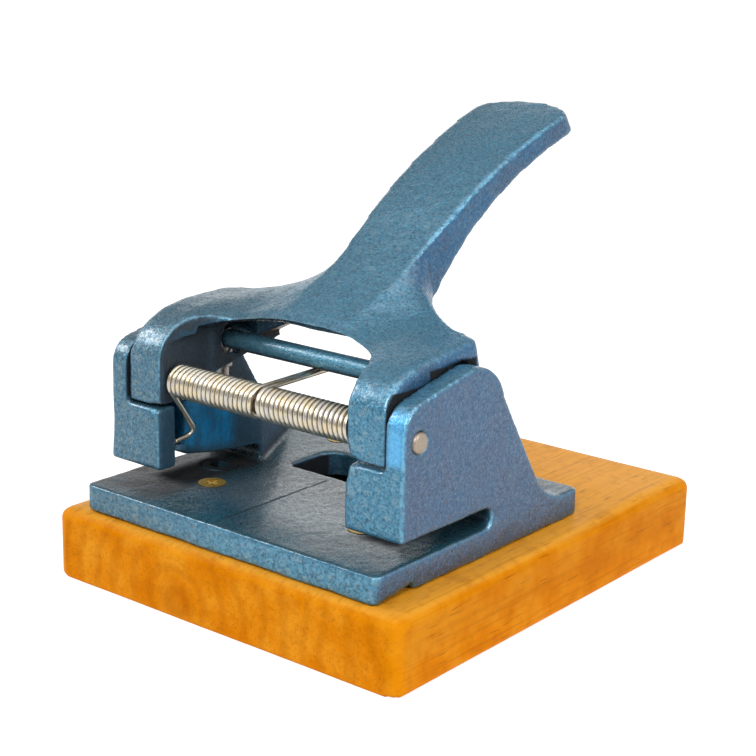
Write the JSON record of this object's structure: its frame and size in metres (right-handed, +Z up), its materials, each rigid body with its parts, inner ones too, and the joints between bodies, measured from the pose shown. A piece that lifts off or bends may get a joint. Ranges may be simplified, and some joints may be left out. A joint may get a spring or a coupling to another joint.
{
  "type": "heavy-duty two-hole paper punch",
  "caption": "Heavy-duty two-hole paper punch: blue enamelled iron casting on a varnished wood block, with a sprung fork lever that drives the punches down.",
  "frame": {"origin": "centre of the wooden block's underside", "axes": "+X to the right as the paper goes in, +Y to the rear (the way the paper goes in), +Z up"},
  "size_m": [0.13, 0.153, 0.1393],
  "materials": {
    "varnished_wood": "amber varnished board, satin gloss",
    "blue_enamel": "hammered blue enamel over rough cast iron",
    "rod_enamel": "steel rod painted with the same blue enamel",
    "pin_steel": "plain turned steel",
    "spring_zinc": "bright zinc-plated spring wire",
    "tool_steel": "ground tool steel",
    "screw_brass": "yellow passivated steel"
  },
  "bodies": {
    "base": {"wood_base": "varnished_wood", "base_casting": "blue_enamel", "pivot_pin": "pin_steel", "return_spring": "spring_zinc", "die_bush_left": "tool_steel", "die_bush_right": "tool_steel", "screw_front_left": "screw_brass", "screw_front_right": "screw_brass", "screw_rear_left": "screw_brass", "screw_rear_right": "screw_brass"},
    "lever": {"lever": "blue_enamel"},
    "punch_set": {"cross_rod": "rod_enamel", "punch_left": "tool_steel", "punch_right": "tool_steel"}
  },
  "joints": [
    {"name": "lever_pivot", "type": "hinge", "parent": "base", "child": "lever", "pos_m": [0, -0.0566, 0.06355], "axis": [-1, 0, 0], "range_deg": [0, 20], "stiffness_Nm_per_rad": 1, "springref_deg": -34.38},
    {"name": "punch_slide", "type": "slide", "parent": "base", "child": "punch_set", "axis": [0, 0, -1], "range_m": [0, 0.00816], "deforming": ["return_spring"]}
  ],
  "couplings": [
    {"joint": "punch_slide", "follows": "lever_pivot", "m_per_rad": 0.02335}
  ]
}
